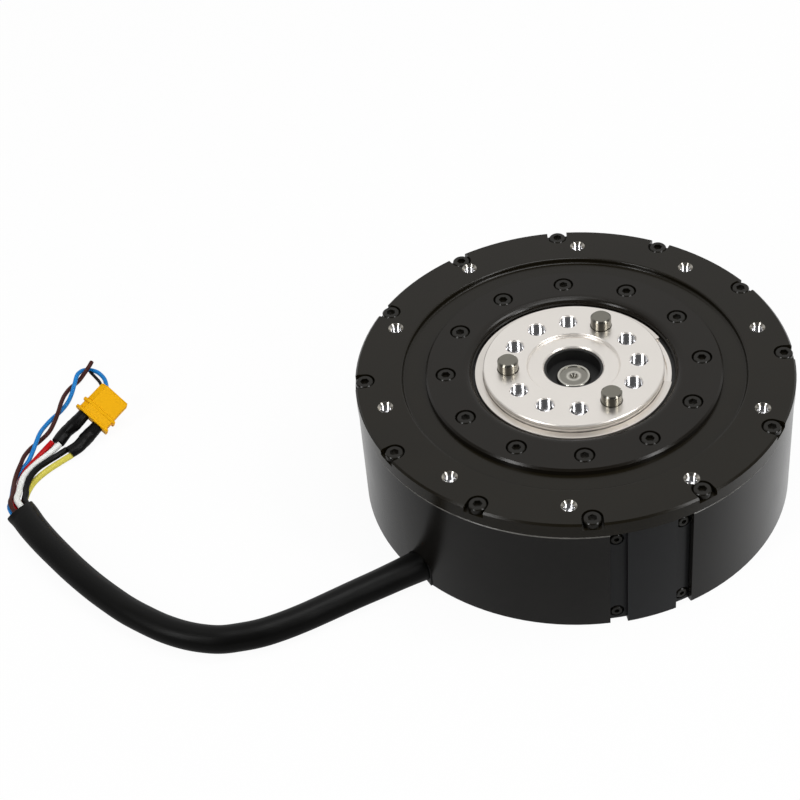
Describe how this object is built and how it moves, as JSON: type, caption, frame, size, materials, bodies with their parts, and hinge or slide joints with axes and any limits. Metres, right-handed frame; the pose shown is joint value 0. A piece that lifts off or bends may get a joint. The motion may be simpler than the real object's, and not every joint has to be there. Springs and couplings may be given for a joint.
{
  "type": "robot joint module",
  "caption": "Flat round robot joint module: outer-rotor motor with a planetary gear stage, output flange with dowel pins, and a cable ending in loose wires and a connector.",
  "frame": {"origin": "centre of the housing's underside, on the output axis", "axes": "+Z along the output axis, towards the output flange; the cable leaves towards -X and -Y"},
  "size_m": [0.2544, 0.1405, 0.0485],
  "materials": {
    "housing": "black anodised, smooth",
    "cover": "black anodised, smooth",
    "flange": "turned, clear anodised",
    "pin_steel": "ground",
    "ring_steel": "bright",
    "black_screw": "black oxide",
    "plain_screw": "plain",
    "bearing_steel": "ground",
    "gear_steel": "machined",
    "bronze": "satin",
    "bell_steel": "machined",
    "magnet": "nickel plated",
    "stator_steel": "laminated",
    "copper": "enamelled",
    "board": "solder mask",
    "chips": "moulded",
    "seal": "matt",
    "cable": "matt jacket",
    "shrink": "matt",
    "white": "insulation",
    "red": "insulation",
    "black": "insulation",
    "yellow": "insulation",
    "blue": "insulation",
    "brown": "insulation",
    "amber": "moulded",
    "contact": "gold plated"
  },
  "bodies": {
    "body": {"housing": "housing", "front_cover": "cover", "inner_cover": "cover", "rim_screws": "black_screw", "inner_cover_screws": "black_screw", "rear_cover": "housing", "rear_cover_screws": "black_screw", "side_cover": "housing", "side_cover_screws": "black_screw", "ring_gear": "gear_steel", "ring_gear_screws": "black_screw", "stator_core": "stator_steel", "stator_windings": "copper", "phase_leads": "blue", "output_bearing_outer_ring": "bearing_steel", "output_seal": "seal", "circuit_board": "board", "board_components": "chips", "board_screws": "plain_screw", "rear_bearing_outer_ring": "bearing_steel", "rear_bearing_balls": "bearing_steel", "cable_gland": "seal", "cable_sleeve": "cable", "wire_white": "white", "wire_red": "red", "wire_black": "black", "wire_yellow": "yellow", "wire_blue": "blue", "wire_brown": "brown", "wire_dark": "black", "heat_shrink_left": "shrink", "heat_shrink_right": "shrink", "power_connector": "amber", "connector_pins": "contact"},
    "output": {"output_flange": "flange", "dowel_pins": "pin_steel", "retaining_ring": "ring_steel", "output_bearing_inner_ring": "bearing_steel", "output_bearing_rollers": "bearing_steel", "planet_carrier": "gear_steel", "planet_pins": "bearing_steel", "carrier_screws": "black_screw", "nose_bearing_outer_ring": "bearing_steel", "nose_bearing_balls": "bearing_steel", "nose_bearing_seal": "seal"},
    "rotor": {"rotor_bell": "bell_steel", "rotor_magnets": "magnet", "sun_shaft": "gear_steel", "nose_bearing_inner_ring": "bearing_steel", "rear_bearing_inner_ring": "bearing_steel", "encoder_magnet": "magnet"},
    "planet_1": {"planet_gear_1": "gear_steel", "planet_bush_1": "bronze"},
    "planet_2": {"planet_gear_2": "gear_steel", "planet_bush_2": "bronze"},
    "planet_3": {"planet_gear_3": "gear_steel", "planet_bush_3": "bronze"}
  },
  "joints": [
    {"name": "rotor_spin", "type": "hinge", "parent": "body", "child": "rotor", "pos_m": [0, 0, 0.02], "axis": [0, 0, 1], "continuous": true},
    {"name": "output_spin", "type": "hinge", "parent": "body", "child": "output", "pos_m": [0, 0, 0.0352], "axis": [0, 0, 1], "continuous": true},
    {"name": "planet_1_spin", "type": "hinge", "parent": "output", "child": "planet_1", "pos_m": [0.018, 0, 0.024], "axis": [0, 0, 1], "continuous": true},
    {"name": "planet_2_spin", "type": "hinge", "parent": "output", "child": "planet_2", "pos_m": [-0.009, 0.01559, 0.024], "axis": [0, 0, 1], "continuous": true},
    {"name": "planet_3_spin", "type": "hinge", "parent": "output", "child": "planet_3", "pos_m": [-0.009, -0.01559, 0.024], "axis": [0, 0, 1], "continuous": true}
  ],
  "couplings": [
    {"joint": "output_spin", "follows": "rotor_spin", "ratio": 0.2},
    {"joint": "planet_1_spin", "follows": "rotor_spin", "ratio": -0.53333},
    {"joint": "planet_2_spin", "follows": "rotor_spin", "ratio": -0.53333},
    {"joint": "planet_3_spin", "follows": "rotor_spin", "ratio": -0.53333}
  ]
}
